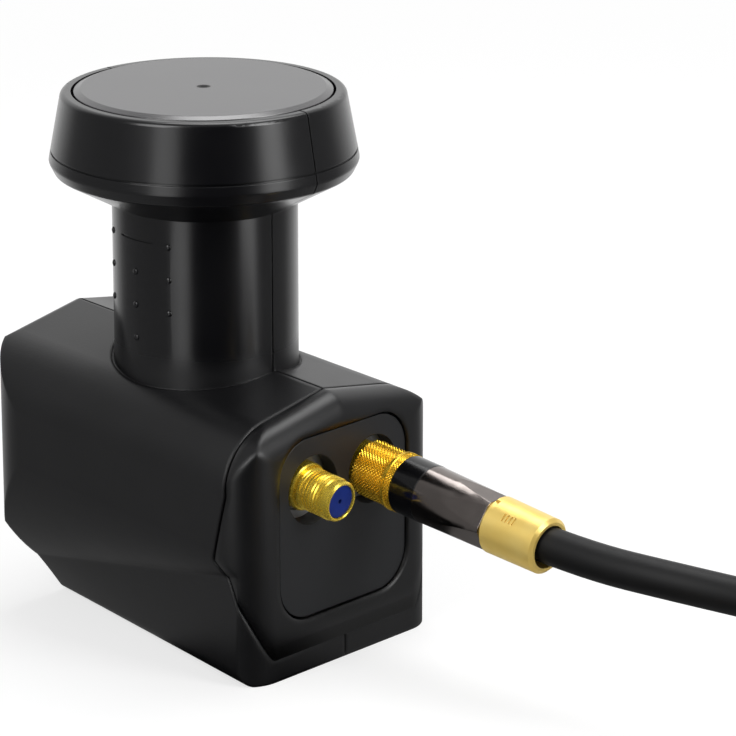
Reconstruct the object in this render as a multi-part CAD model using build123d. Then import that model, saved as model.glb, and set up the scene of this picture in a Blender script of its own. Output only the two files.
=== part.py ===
from build123d import *
import os
from math import cos, pi, radians, sin, tan

# A twin satellite receiver head. Sizes are in millimetres. The neck runs up the Z axis,
# the ports point along +X, and the foot of the body stands on Z = 0.

# Neck and cap
neck_diameter = 40.0
neck_foot = 48.0
neck_top = 94.5
cap_lip_diameter = 66.6
cap_flare = 9.0
cap_lip_depth = 2.4
cap_lip_round = 1.2
lip_groove_width = 0.5
lip_groove_depth = 0.45
lip_groove_rise = 2.0
cap_rim_diameter = 61.0
cap_skirt = 14.9
cap_rim_round = 1.2

# Roll scale on the neck, as degrees round it and heights
mark_columns = ((68.3, 88.6), (93.2, 82.0), (123.5, 88.6))
marks_in_column = 3
mark_pitch = 7.3
mark_diameter = 0.9
mark_height = 0.25
mark_line_height = 89.1
mark_line_start = 79.0
mark_line_end = 108.0
mark_line_width = 0.45
mark_line_depth = 0.3

# Body
wall = 2.4
body_width = 60.0
body_front = 41.0
body_rear = -42.0
ridge_height = 60.0
ridge_fall = 3.8
roof_fall = 10.0
shoulder_radius = 14.0
crease_height_rear = 19.5
crease_height_front = 26.9
crease_radius = 42.0
foot_inset_rear = 19.2
foot_inset_front = 0.2
foot_radius = 3.5
rear_corner_radius = 13.6
front_corner_radius = 8.5
rear_knee_height = 36.0
rear_lean = 9.0
rear_edge_radius = 2.5
front_edge_radius = 6.0
cut_allowance = 0.02

# Seam between the two halves, groove round the neck, and ribs under the casting
seam_width = 0.4
seam_depth = 0.6
neck_groove_width = 0.7
neck_groove_depth = 0.7
rib_thickness = 1.6
rib_places = (-12.0, 20.0)
rib_gap = 0.3
tab_length = 20.0
tab_reach = 6.0

# Sliding weather shield
shield_edge = 35.0
shield_bend_height = 42.0
shield_tip_x = 31.6
shield_tip_height = 27.4
shield_bow_x = 37.6
shield_bow_height = 18.0
shield_bottom = 5.0
shield_gap = 0.55
shield_face = 2.5
sleeve_wall = 1.5
sleeve_rear = 8.0
sleeve_bottom = 29.0
guide_gap = 1.0
opening_margin = 10.0
opening_bottom = 11.6
opening_top = 52.3
opening_radius = 9.0

# Feed cover and its seal
cover_diameter = 55.4
cover_flat_diameter = 52.4
cover_bevel = 0.6
cover_wall = 2.2
cover_ledge = 1.9
cover_height = 4.0
cover_gap = 0.6
dimple_diameter = 3.4
dimple_depth = 0.8
seal_section = 1.4

# Horn casting, its lid and screws
guide_bore = 17.8
guide_wall = 2.6
horn_throat = 64.0
horn_neck_bore = 28.0
horn_neck_drop = 0.5
horn_mouth_bore = 46.8
horn_cover_gap = 0.8
horn_wall = 1.8
horn_ring_height = 80.0
horn_ring_width = 3.0
horn_gap = 0.3
case_front = 36.5
case_rear = -24.0
case_margin = 11.0
case_top = 50.0
case_bottom = 27.0
case_wall = 2.5
lid_thickness = 2.0
boss_radius = 3.0
boss_inset = 4.0
screw_diameter = 2.5
screw_head_diameter = 4.4
screw_head_height = 1.6
screw_length = 9.0
screw_clearance = 0.1

# Circuit board and the probes printed on it
board_top = 38.6
board_thickness = 1.6
board_width = 23.0
board_gap = 0.5
probe_length = 5.5
probe_width = 1.4
probe_thickness = 0.4
probe_gap = 0.5

# Connector plate and ports, with lengths along a port counted from the plate's face
plate_front = 40.5
port_spacing = 18.5
port_height = 40.1
port_tilt = 6.5
port_hole_diameter = 15.0
thread_diameter = 9.4
thread_length = 8.3
collar_diameter = 10.6
collar_seat = -4.6
collar_length = 3.3
shank_diameter = 8.0
shank_length = 1.8
port_bore_diameter = 7.4
port_bore_floor = -2.0
port_chamfer = 0.5
insulator_recess = 0.5
contact_diameter = 0.9
contact_back = -13.0
contact_front = 1.0
fit_gap = 0.05

# Plug, with the same lengths
nut_start = -1.2
nut_end = 10.5
nut_diameter = 12.6
nut_ring_diameter = 13.2
nut_ring_length = 2.6
nut_flange = 1.6
post_diameter = 8.2
post_gap = 0.3
band_length = 6.5
band_diameter = 12.9
barrel_length = 18.4
barrel_start_diameter = 12.8
barrel_end_diameter = 12.2
barrel_flats_start = 13.6
barrel_flats_end = 11.0
barrel_sides = 6
spigot_diameter = 10.0
spigot_length = 2.5
ferrule_length = 14.6
ferrule_start_diameter = 12.6
ferrule_end_diameter = 12.2
ferrule_bore = 9.4
ferrule_round = 0.7
ferrule_notch_width = 2.6
ferrule_notch_length = 1.8
ferrule_notch_depth = 0.7
ferrule_notch_angle = 115.0
ferrule_tick_count = 4
ferrule_tick_pitch = 0.9
ferrule_tick_width = 0.4
ferrule_tick_length = 1.8
ferrule_tick_depth = 0.25
ferrule_tick_place = 5.0
ferrule_tick_angle = 134.0
pin_diameter = 0.8
pin_tip = 1.2
pin_depth = 4.0

# Cable, its coil and the tie
cable_diameter = 8.0
cable_bends = [(98.0, 9.25, 33.9), (122.0, 13.6, 33.2), (145.0, 25.5, 29.5), (168.0, 32.5, 20.5),
               (190.0, 41.0, 13.2)]
coil_x = 207.0
coil_y = 0.0
coil_radius = 40.0
coil_width = 24.0
coil_height = 16.0
coil_round = 3.6
tie_wall = 0.6
tie_length = 12.0
tie_angle = -8.0
tail_bends = [(213.0, -47.6, 4.6), (187.0, -46.5, 6.7)]
far_plug_x = 125.0

neck_radius = neck_diameter / 2
cap_lip_height = neck_top + cap_flare
cap_rim_height = cap_lip_height + cap_skirt
opening_width = body_width - 2 * opening_margin
case_width = body_width - 2 * case_margin
cover_seat = cap_rim_height - cover_height
horn_top = cover_seat - horn_cover_gap
horn_neck_top = neck_top - horn_neck_drop
lid_bottom = case_bottom - lid_thickness
plug_band_end = nut_end + band_length
plug_barrel_end = plug_band_end + barrel_length
plug_end = plug_barrel_end + ferrule_length
cable_start = plug_barrel_end + spigot_length + fit_gap
above = cap_rim_height + 10
aside = body_width


def inset_outline(points, depth):
    # Each side of a closed outline moves inwards by the depth, and the corners are where the sides then meet.
    count = len(points)
    area = sum(points[i - 1][0] * points[i][1] - points[i][0] * points[i - 1][1] for i in range(count))
    turn = 1 if area > 0 else -1
    sides = []
    for i in range(count):
        start = Vector(*points[i])
        along = (Vector(*points[(i + 1) % count]) - start).normalized()
        sides.append((start + Vector(-along.Y, along.X) * turn * depth, along))
    corners = []
    for i in range(count):
        before, u = sides[i - 1]
        after, v = sides[i]
        step = after - before
        reach = (step.X * v.Y - step.Y * v.X) / (u.X * v.Y - u.Y * v.X)
        corner = before + u * reach
        corners.append((corner.X, corner.Y))
    return corners


def round_corner(sketch, point, radius):
    corner = sketch.vertices().sort_by_distance((point[0], point[1], 0))[0]
    return fillet(corner, radius)


def turned(points):
    # A solid of revolution about Z, from points given as radius and height.
    return revolve(make_face(Polyline(*[(r, 0, z) for r, z in points], close=True)), Axis.Z)


def box_between(low, high):
    size = [b - a for a, b in zip(low, high)]
    return Pos(*low) * Box(*size, align=(Align.MIN, Align.MIN, Align.MIN))


def rod(radius, low, high):
    return Pos(0, 0, low) * Cylinder(radius, high - low, align=(Align.CENTER, Align.CENTER, Align.MIN))


def across(x):
    # A plane across the body, with +Y to the right and +Z up.
    return Plane(origin=(x, 0, 0), x_dir=(0, 1, 0), z_dir=(1, 0, 0))


def from_rear_to_front(rear, front, x):
    return rear + (front - rear) * (x - body_rear) / (body_front - body_rear)


def ridge_at(x):
    return ridge_height - (x - neck_radius) * tan(radians(ridge_fall))


def body_section(x, depth):
    half = body_width / 2 + cut_allowance
    eaves = ridge_at(x) - half * tan(radians(roof_fall))
    crease = from_rear_to_front(crease_height_rear, crease_height_front, x)
    foot = half - from_rear_to_front(foot_inset_rear, foot_inset_front, x)
    right = [(0, ridge_at(x)), (half, eaves), (half, crease), (foot, -cut_allowance)]
    left = [(-y, z) for y, z in reversed(right[1:])]
    outline = inset_outline(right + left, depth)
    sketch = make_face(Polyline(*outline, close=True))
    radii = (shoulder_radius - depth, crease_radius, max(foot_radius - depth, foot_radius / 6))
    for step, radius in enumerate(radii, start=1):
        sketch = round_corner(sketch, outline[step], radius)
        sketch = round_corner(sketch, outline[-step], radius)
    return across(x) * sketch


def body_plan(depth):
    rear, front, half = body_rear + depth, body_front - depth, body_width / 2 - depth
    plan = make_face(Polyline((rear, -half), (front, -half), (front, half), (rear, half), close=True))
    for y in (-half, half):
        plan = round_corner(plan, (rear, y), rear_corner_radius - depth)
        plan = round_corner(plan, (front, y), front_corner_radius - depth)
    return plan


def body_profile(depth):
    # The side view, with its rounded ends of the ridge. It runs out sideways along the fall of the roof.
    rear, front = body_rear + depth, body_front - depth
    below = -body_width / 2
    lean = rear + rear_lean * (rear_knee_height - below) / rear_knee_height
    drop = depth / cos(radians(roof_fall)) - cut_allowance
    points = [(lean, below), (rear, rear_knee_height), (rear, ridge_at(rear) - drop),
              (front, ridge_at(front) - drop), (front, below)]
    profile = make_face(Polyline(*points, close=True))
    profile = round_corner(profile, points[2], rear_edge_radius - min(depth, rear_edge_radius / 2))
    profile = round_corner(profile, points[3], front_edge_radius - min(depth, front_edge_radius / 2))
    fall = tan(radians(roof_fall))
    halves = [extrude(Plane.XZ * profile, aside, dir=(0, side, -fall)) for side in (-1, 1)]
    return halves[0] + halves[1]


def body_block(depth):
    overrun = 6
    stations = (body_rear - overrun, body_front + overrun)
    hull = loft([body_section(x, depth) for x in stations], ruled=True)
    return hull & extrude(body_plan(depth), above) & body_profile(depth)


def feed_block(depth):
    lip, rim = cap_lip_diameter / 2, cap_rim_diameter / 2
    right = [(neck_radius, neck_foot), (neck_radius, neck_top),
             (lip - cap_lip_depth / 2, cap_lip_height - cap_lip_depth), (lip, cap_lip_height),
             (rim, cap_rim_height)]
    outline = inset_outline(right + [(-r, z) for r, z in reversed(right)], depth)[:len(right)]
    sketch = make_face(Polyline((0, outline[0][1]), *outline, (0, outline[-1][1]), close=True))
    for corner, radius in ((2, cap_lip_round), (3, cap_lip_round), (4, cap_rim_round)):
        sketch = round_corner(sketch, outline[corner], radius)
    return revolve(Plane.XZ * sketch, Axis.Z)


def feed_hollow():
    bore = neck_radius - wall
    mouth = cover_diameter / 2 - cover_ledge
    wide = cap_lip_diameter / 2 - wall - cap_lip_depth / 2
    seat = cover_diameter / 2 + cover_gap
    return turned([(0, neck_foot - wall), (bore, neck_foot - wall), (bore, neck_top + wall / 2),
                   (wide, cap_lip_height + wall / 2), (mouth, cover_seat - wall), (mouth, cover_seat),
                   (seat, cover_seat), (seat, above), (0, above)])


def shield_zone(gap):
    # All that lies in front of the shield's edge, which comes to a point on each side of the body.
    far = body_front + aside
    start = (shield_edge - gap, above)
    bend = (shield_edge - gap, shield_bend_height)
    tip = (shield_tip_x - gap, shield_tip_height)
    bow = (shield_bow_x - gap, shield_bow_height - gap)
    bottom = (body_front, shield_bottom - gap)
    edge = [Line(start, bend), Line(bend, tip), ThreePointArc(tip, bow, bottom),
            Polyline(bottom, (far, shield_bottom - gap), (far, above), start)]
    return extrude(Plane.XZ * make_face(edge), aside, both=True)


def shield_window(gap):
    # The block of space inside the shield's opening, from the casting forwards.
    height = opening_top - opening_bottom
    window = RectangleRounded(opening_width - 2 * gap, height - 2 * gap, opening_radius - gap)
    return extrude(across(case_front) * Pos(0, opening_bottom + height / 2) * window, aside)


def port_frame(side):
    lean = radians(port_tilt)
    return Plane(origin=(plate_front, side * port_spacing / 2, port_height), x_dir=(0, 1, 0),
                 z_dir=(cos(lean), 0, -sin(lean)))


def neck_marks():
    # Rows of small raised dots, the same on both halves of the neck.
    dot = Plane(origin=(neck_radius, 0, 0), z_dir=(1, 0, 0)) * Cylinder(mark_diameter / 2, 2 * mark_height)
    return [Pos(0, 0, top - i * mark_pitch) * Rot(0, 0, side * angle) * dot
            for angle, top in mark_columns for i in range(marks_in_column) for side in (-1, 1)]


def neck_line():
    # The zero line of the scale, cut into the left half.
    inner = neck_radius - mark_line_depth
    low, high = mark_line_height - mark_line_width / 2, mark_line_height + mark_line_width / 2
    outline = [(inner, 0, low), (neck_radius + 1, 0, low), (neck_radius + 1, 0, high), (inner, 0, high)]
    cut = revolve(make_face(Polyline(*outline, close=True)), Axis.Z, mark_line_end - mark_line_start)
    return Rot(0, 0, -mark_line_end) * cut


def lip_groove():
    # A line round the skirt, which leaves a bead between it and the lip.
    lip, rim = cap_lip_diameter / 2, cap_rim_diameter / 2
    low = cap_lip_height + lip_groove_rise
    high = low + lip_groove_width
    skirt = lip + (rim - lip) * lip_groove_rise / cap_skirt
    return rod(lip + 1, low, high) - rod(skirt - lip_groove_depth, low, high)


def make_housings():
    groove = rod(neck_radius + neck_groove_width, neck_foot, above) - body_block(neck_groove_depth)
    outer = body_block(0) - groove + feed_block(0) - lip_groove() - neck_line() + neck_marks()
    shell = outer - body_block(wall) - feed_hollow() - shield_zone(shield_gap) - shield_window(0)
    core = body_block(wall / 2)
    for x in rib_places:
        low, high = x - rib_thickness / 2, x + rib_thickness / 2
        shell = shell + (core & box_between((low, -aside, 0), (high, aside, lid_bottom - rib_gap)))
    seam = box_between((body_rear - 1, -seam_width / 2, seam_depth), (body_front + 1, seam_width / 2, above))
    shell = shell - (seam - body_block(seam_depth) - feed_block(seam_depth))
    left = box_between((body_rear - 1, -aside, -1), (body_front + 1, 0, above))
    left = left + box_between((-tab_length / 2, -1, -1), (tab_length / 2, tab_reach, 2 * wall))
    return shell & left, shell - left


def make_shield():
    rim = body_block(0) & shield_zone(0)
    lining = body_section(body_front, wall + shield_gap)
    hollow = extrude(body_section(body_front, wall + shield_gap + sleeve_wall), -aside)
    sleeve = extrude(lining, sleeve_rear - body_front) - hollow
    sleeve = sleeve & body_block(wall + shield_gap)
    sleeve = sleeve & box_between((sleeve_rear, -aside, sleeve_bottom), (body_front - 1, aside, above))
    slot = guide_bore / 2 + guide_wall + guide_gap
    sleeve = sleeve - box_between((sleeve_rear - 1, -slot, sleeve_bottom), (slot, slot, above))
    back = box_between((body_rear, -aside, 0), (body_front - shield_face, aside, above))
    skirt = (rim & back) - hollow
    shield = (rim - back) + skirt + sleeve
    return shield - shield_window(0)


def make_feed_cover():
    outside = cover_diameter / 2
    flat = cover_flat_diameter / 2
    inside = outside - cover_ledge
    top = cap_rim_height + cover_bevel
    cover = turned([(0, top), (flat, top), (outside, cap_rim_height), (outside, cover_seat),
                    (inside, cover_seat), (inside, top - cover_wall), (0, top - cover_wall)])
    return cover - Pos(0, 0, top) * Cone(0.1, dimple_diameter / 2, dimple_depth * 2)


def make_feed_seal():
    # A round rubber ring in the corner under the cover's wall.
    middle = cover_diameter / 2 - cover_ledge - seal_section / 2 - fit_gap
    height = cover_seat + seal_section / 2
    return Pos(0, 0, height) * Torus(middle, seal_section / 2)


def screw_places():
    half = case_width / 2 - boss_inset
    return [(x, y) for x in (case_rear + boss_inset, case_front - boss_inset) for y in (-half, half)]


def make_horn_casting():
    guide = guide_bore / 2
    neck_bore = horn_neck_bore / 2
    mouth = horn_mouth_bore / 2
    horn = turned([(0, board_top), (guide + guide_wall, board_top), (guide + guide_wall, horn_throat),
                   (neck_bore + horn_wall, horn_neck_top), (mouth + horn_wall, horn_top), (0, horn_top)])
    horn = horn + rod(neck_radius - wall - horn_gap, horn_ring_height, horn_ring_height + horn_ring_width)
    half = case_width / 2
    case = box_between((case_rear, -half, case_bottom), (case_front, half, case_top))
    case = case - box_between((case_rear + case_wall, case_wall - half, case_bottom - 1),
                              (case_front - case_wall, half - case_wall, case_top - case_wall))
    for x, y in screw_places():
        case = case + Pos(x, y) * rod(boss_radius, case_bottom, case_top)
        tapped = rod(screw_diameter / 2 + fit_gap, case_bottom - 1, lid_bottom + screw_length + board_gap)
        case = case - Pos(x, y) * tapped
    casting = case + horn
    casting = casting - turned([(0, case_bottom), (guide, case_bottom), (guide, horn_throat),
                                (neck_bore, horn_neck_top), (mouth, horn_top), (0, horn_top)])
    for side in (-1, 1):
        seat = rod(collar_diameter / 2 + shield_gap, collar_seat, -collar_seat)
        hole = rod(shank_diameter / 2 + fit_gap, collar_seat - 2 * shank_length, 0)
        casting = casting - port_frame(side) * seat - port_frame(side) * hole
    return casting


def make_case_lid():
    half = case_width / 2
    guide = guide_bore / 2
    lid = box_between((case_rear, -half, lid_bottom), (case_front, half, case_bottom))
    cup = rod(guide + guide_wall, case_bottom, board_top - board_thickness)
    lid = lid + cup - rod(guide, case_bottom, board_top)
    for x, y in screw_places():
        lid = lid - Pos(x, y) * rod(screw_diameter / 2 + screw_clearance, lid_bottom - 1, case_bottom + 1)
    return lid


def make_lid_screws():
    screw = rod(screw_head_diameter / 2, lid_bottom - screw_head_height, lid_bottom)
    screw = screw + rod(screw_diameter / 2, lid_bottom, lid_bottom + screw_length)
    return Compound([Pos(x, y) * screw for x, y in screw_places()])


def make_circuit_board():
    rear = case_rear + case_wall + board_gap
    front = case_front - case_wall - board_gap
    half = board_width / 2
    return box_between((rear, -half, board_top - board_thickness), (front, half, board_top))


def make_probes():
    outer = guide_bore / 2 - probe_gap
    along = box_between((-outer, -probe_width / 2, board_top),
                        (probe_length - outer, probe_width / 2, board_top + probe_thickness))
    return Compound([along, Rot(0, 0, 90) * along])


def make_connector_plate():
    plate = shield_window(shield_gap) & box_between((case_front, -aside, 0), (plate_front, aside, above))
    for side in (-1, 1):
        plate = plate - port_frame(side) * rod(port_hole_diameter / 2, -aside / 4, aside / 4)
    return plate


def port_pieces(side):
    thread, collar, shank = thread_diameter / 2, collar_diameter / 2, shank_diameter / 2
    bore = port_bore_diameter / 2
    contact = contact_diameter / 2
    back = collar_seat - shank_length
    face = collar_seat + collar_length
    body = turned([(contact + fit_gap, back), (shank, back), (shank, collar_seat), (collar, collar_seat),
                   (collar, face), (thread, face), (thread, thread_length - port_chamfer),
                   (thread - port_chamfer, thread_length), (bore, thread_length), (bore, port_bore_floor),
                   (contact + fit_gap, port_bore_floor)])
    low, high = port_bore_floor + fit_gap, thread_length - insulator_recess
    insulator = rod(bore - fit_gap, low, high) - rod(contact + fit_gap, low, high)
    place = port_frame(side)
    return place * body, place * insulator, place * rod(contact, contact_back, contact_front)


def make_barrel():
    post, spigot = post_diameter / 2, spigot_diameter / 2
    grip = turned([(0, plug_band_end), (barrel_start_diameter / 2, plug_band_end),
                   (barrel_end_diameter / 2, plug_barrel_end), (0, plug_barrel_end)])
    start = RegularPolygon(barrel_flats_start / 2, barrel_sides, major_radius=False)
    end = RegularPolygon(barrel_flats_end / 2, barrel_sides, major_radius=False)
    grip = grip & loft([Pos(0, 0, plug_band_end) * start, Pos(0, 0, plug_barrel_end) * end], ruled=True)
    barrel = grip + rod(post, thread_length + post_gap, plug_band_end)
    barrel = barrel + rod(spigot, plug_barrel_end, plug_barrel_end + spigot_length)
    return barrel - rod(pin_diameter / 2 + fit_gap, 0, plug_band_end + pin_depth)


def plug_pieces(place):
    nut, ring_radius, post = nut_diameter / 2, nut_ring_diameter / 2, post_diameter / 2
    inside = thread_diameter / 2 + fit_gap
    floor = nut_end - nut_flange
    ring_start = nut_end - nut_ring_length
    nut_piece = turned([(inside, nut_start), (nut, nut_start), (nut, ring_start), (ring_radius, ring_start),
                        (ring_radius, nut_end), (post + fit_gap, nut_end), (post + fit_gap, floor),
                        (inside, floor)])
    band = turned([(post + fit_gap, nut_end + fit_gap), (band_diameter / 2, nut_end + fit_gap),
                   (band_diameter / 2, plug_band_end), (post + fit_gap, plug_band_end)])
    wide, narrow, bore = ferrule_start_diameter / 2, ferrule_end_diameter / 2, ferrule_bore / 2
    socket = spigot_diameter / 2 + fit_gap
    stop = plug_barrel_end + spigot_length + fit_gap
    ferrule = turned([(socket, plug_barrel_end), (wide - ferrule_round, plug_barrel_end),
                      (wide, plug_barrel_end + ferrule_round), (narrow, plug_end - ferrule_round),
                      (narrow - ferrule_round, plug_end), (bore, plug_end), (bore, stop), (socket, stop)])
    notch = box_between((0, -ferrule_notch_width / 2, plug_barrel_end - 1),
                        (wide, ferrule_notch_width / 2, plug_barrel_end + ferrule_notch_length))
    notch = Rot(0, 0, ferrule_notch_angle) * (notch - rod(wide - ferrule_notch_depth, 0, plug_end))
    ferrule = ferrule - notch
    for i in range(ferrule_tick_count):
        along = plug_barrel_end + ferrule_tick_place + i * ferrule_tick_pitch
        surface = wide - (wide - narrow) * (along - plug_barrel_end) / ferrule_length
        tick = box_between((0, -ferrule_tick_length / 2, along),
                           (wide, ferrule_tick_length / 2, along + ferrule_tick_width))
        tick = tick - rod(surface - ferrule_tick_depth, 0, plug_end)
        ferrule = ferrule - Rot(0, 0, ferrule_tick_angle) * tick
    pin = rod(pin_diameter / 2, pin_tip, plug_band_end + pin_depth)
    names = ("nut", "band", "barrel", "ferrule", "pin")
    return dict(zip(names, [place * piece for piece in (nut_piece, band, make_barrel(), ferrule, pin)]))


def cord_tube(points):
    # Straight runs joined by arcs as large as the runs allow.
    stops = [Vector(*p) for p in points]
    radii = []
    for before, here, after in zip(stops, stops[1:], stops[2:]):
        turn = radians((here - before).get_angle(after - here))
        shorter = min((here - before).length, (after - here).length)
        radii.append(0.45 * shorter / tan(turn / 2))
    path = FilletPolyline(*points, radius=radii)
    tube = sweep(Plane(origin=path @ 0, z_dir=path % 0) * Circle(cable_diameter / 2), path)
    expected = pi * (cable_diameter / 2) ** 2 * path.length
    print("bend radii", [round(r, 1) for r in radii], "length", round(path.length, 1),
          "volume ratio", round(tube.volume / expected, 4))
    return tube


def make_coil():
    bundle = RectangleRounded(coil_width, coil_height, coil_round)
    section = Plane.XZ * Pos(coil_radius, tie_wall + coil_height / 2) * bundle
    return Pos(coil_x, coil_y) * revolve(section, Axis.Z)


def make_tie():
    outside = RectangleRounded(coil_width + 2 * tie_wall, coil_height + 2 * tie_wall, coil_round)
    inside = RectangleRounded(coil_width, coil_height, coil_round)
    section = Plane.XZ * Pos(coil_radius, tie_wall + coil_height / 2) * (outside - inside)
    turn = 360 * tie_length / (2 * pi * coil_radius)
    return Pos(coil_x, coil_y) * Rot(0, 0, tie_angle) * revolve(section, Axis.Z, turn)


left_housing, right_housing = make_housings()
pieces = {
    "left_housing": left_housing,
    "right_housing": right_housing,
    "weather_shield": make_shield(),
    "feed_cover": make_feed_cover(),
    "feed_seal": make_feed_seal(),
    "horn_casting": make_horn_casting(),
    "case_lid": make_case_lid(),
    "lid_screws": make_lid_screws(),
    "circuit_board": make_circuit_board(),
    "waveguide_probes": make_probes(),
    "connector_plate": make_connector_plate(),
}
for name, side in (("free_port", -1), ("used_port", 1)):
    body, insulator, contact = port_pieces(side)
    pieces[f"{name}_body"] = body
    pieces[f"{name}_insulator"] = insulator
    pieces[f"{name}_contact"] = contact

far_frame = Plane(origin=(far_plug_x, tail_bends[-1][1], tail_bends[-1][2]), x_dir=(0, 1, 0), z_dir=(1, 0, 0))
for name, place in (("plug", port_frame(1)), ("far_plug", far_frame)):
    for piece, solid in plug_pieces(place).items():
        pieces[f"{name}_{piece}"] = solid

cable_root = port_frame(1).from_local_coords(Vector(0, 0, cable_start))
tail_end = far_frame.from_local_coords(Vector(0, 0, cable_start))
pieces["cable"] = cord_tube([tuple(cable_root)] + cable_bends)
pieces["cable_tail"] = cord_tube(tail_bends + [tuple(tail_end)])
pieces["cable_coil"] = make_coil()
pieces["coil_tie"] = make_tie()

os.makedirs("parts", exist_ok=True)
for name, solid in pieces.items():
    export_step(solid, f"parts/{name}.step")
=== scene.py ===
import math

import bmesh
import bpy
from mathutils import Matrix, Vector


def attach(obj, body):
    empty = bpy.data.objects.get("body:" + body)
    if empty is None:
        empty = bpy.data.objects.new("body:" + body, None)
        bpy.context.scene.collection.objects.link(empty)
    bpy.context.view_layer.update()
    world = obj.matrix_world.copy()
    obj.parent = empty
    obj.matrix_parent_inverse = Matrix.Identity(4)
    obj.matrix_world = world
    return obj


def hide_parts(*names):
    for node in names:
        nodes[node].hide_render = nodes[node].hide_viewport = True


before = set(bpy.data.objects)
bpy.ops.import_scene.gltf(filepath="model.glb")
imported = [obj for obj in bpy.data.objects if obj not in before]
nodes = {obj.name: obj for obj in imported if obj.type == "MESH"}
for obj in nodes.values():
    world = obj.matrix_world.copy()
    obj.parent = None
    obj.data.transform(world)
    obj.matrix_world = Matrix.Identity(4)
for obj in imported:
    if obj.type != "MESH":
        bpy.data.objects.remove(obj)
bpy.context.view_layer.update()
scene = bpy.context.scene
scene.view_settings.view_transform = "Standard"
mm = 0.001
print("frame loaded,", len(nodes), "nodes")


def toLinear(hexText):
    # sRGB hex to linear light
    parts = [int(hexText[i:i + 2], 16) / 255 for i in (1, 3, 5)]
    return [p / 12.92 if p <= 0.04045 else ((p + 0.055) / 1.055) ** 2.4 for p in parts] + [1.0]


def addNode(tree, kind, settings=None, inputs=None):
    node = tree.nodes.new(kind)
    for key, value in (settings or {}).items():
        setattr(node, key, value)
    for key, value in (inputs or {}).items():
        if isinstance(value, bpy.types.NodeSocket):
            tree.links.new(value, node.inputs[key])
        else:
            node.inputs[key].default_value = value
    return node


def newMaterial(name):
    material = bpy.data.materials.new(name)
    material.use_nodes = True
    tree = material.node_tree
    tree.nodes.clear()
    return material, tree


def finishMaterial(tree, shader):
    addNode(tree, "ShaderNodeOutputMaterial", inputs={"Surface": shader.outputs[0]})


polishedGrain = 0.25  # share of the grain's depth that is left where the tool was polished
bumpDepth = 0.1  # depth of a grain or a tool line against its width


# moulded plastics: even colour, an eroded grain drawn coarser than the real one so that it shows,
# and smoother above a height where the tool was polished
def mouldedPlastic(name, look):
    material, tree = newMaterial(name)
    place = addNode(tree, "ShaderNodeTexCoord").outputs["Object"]
    cloud = addNode(tree, "ShaderNodeTexNoise", inputs={
        "Vector": place, "Scale": 1 / (look["cloudMm"] * mm), "Detail": 3.0, "Roughness": 0.55})
    tone = addNode(tree, "ShaderNodeMix", {"data_type": "RGBA"}, {
        0: cloud.outputs["Fac"], 6: toLinear(look["dark"]), 7: toLinear(look["light"])}).outputs[2]
    grain = addNode(tree, "ShaderNodeTexNoise", inputs={
        "Vector": place, "Scale": 1 / (look["grainMm"] * mm), "Detail": 2.0, "Roughness": 0.6})
    height = addNode(tree, "ShaderNodeSeparateXYZ", inputs={0: place}).outputs["Z"]
    polish = addNode(tree, "ShaderNodeMapRange", {"interpolation_type": "SMOOTHSTEP"}, {
        "Value": height, "From Min": look["polishFrom"] * mm, "From Max": look["polishTo"] * mm,
        "To Min": look["rough"], "To Max": look["polishedRough"]})
    blur = addNode(tree, "ShaderNodeMath", {"operation": "MULTIPLY_ADD"}, {
        0: cloud.outputs["Fac"], 1: look["roughSpread"], 2: polish.outputs[0]}).outputs[0]
    if "dimpleShadeMm" in look:  # painted shade: the centre dimple on the axis is darkened, and made duller
        level = addNode(tree, "ShaderNodeVectorMath", {"operation": "MULTIPLY"}, {0: place, 1: (1, 1, 0)})
        away = addNode(tree, "ShaderNodeVectorMath", {"operation": "LENGTH"}, {0: level.outputs[0]})
        # mask of the painted shade in the centre dimple
        dimpleShade = addNode(tree, "ShaderNodeMapRange", {"interpolation_type": "SMOOTHSTEP"}, {
            "Value": away.outputs["Value"], "From Min": look["dimpleShadeCoreMm"] * mm,
            "From Max": look["dimpleShadeMm"] * mm, "To Min": 1.0, "To Max": 0.0})
        tone = addNode(tree, "ShaderNodeMix", {"data_type": "RGBA"}, {
            0: dimpleShade.outputs[0], 6: tone, 7: toLinear(look["dimpleShadeTone"])}).outputs[2]
        blur = addNode(tree, "ShaderNodeMath", {"operation": "MULTIPLY_ADD"}, {
            0: dimpleShade.outputs[0], 1: look["dimpleRough"], 2: blur}).outputs[0]
    relief = addNode(tree, "ShaderNodeMapRange", inputs={
        "Value": height, "From Min": look["polishFrom"] * mm, "From Max": look["polishTo"] * mm,
        "To Min": look["grainStrength"], "To Max": look["grainStrength"] * polishedGrain})
    edge = addNode(tree, "ShaderNodeMapRange", inputs={
        "Value": height, "From Min": look["polishFrom"] * mm, "From Max": look["polishTo"] * mm,
        "To Min": look["edgeMm"] * mm, "To Max": look.get("topEdgeMm", look["edgeMm"]) * mm})
    softEdge = addNode(tree, "ShaderNodeBevel", {"samples": 8}, {"Radius": edge.outputs[0]})
    bump = addNode(tree, "ShaderNodeBump", inputs={
        "Strength": relief.outputs[0], "Distance": look["grainMm"] * bumpDepth * mm,
        "Height": grain.outputs["Fac"], "Normal": softEdge.outputs[0]})
    shader = addNode(tree, "ShaderNodeBsdfPrincipled", inputs={
        "Base Color": tone, "Roughness": blur, "IOR": look["ior"], "Normal": bump.outputs[0]})
    finishMaterial(tree, shader)
    return material


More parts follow.
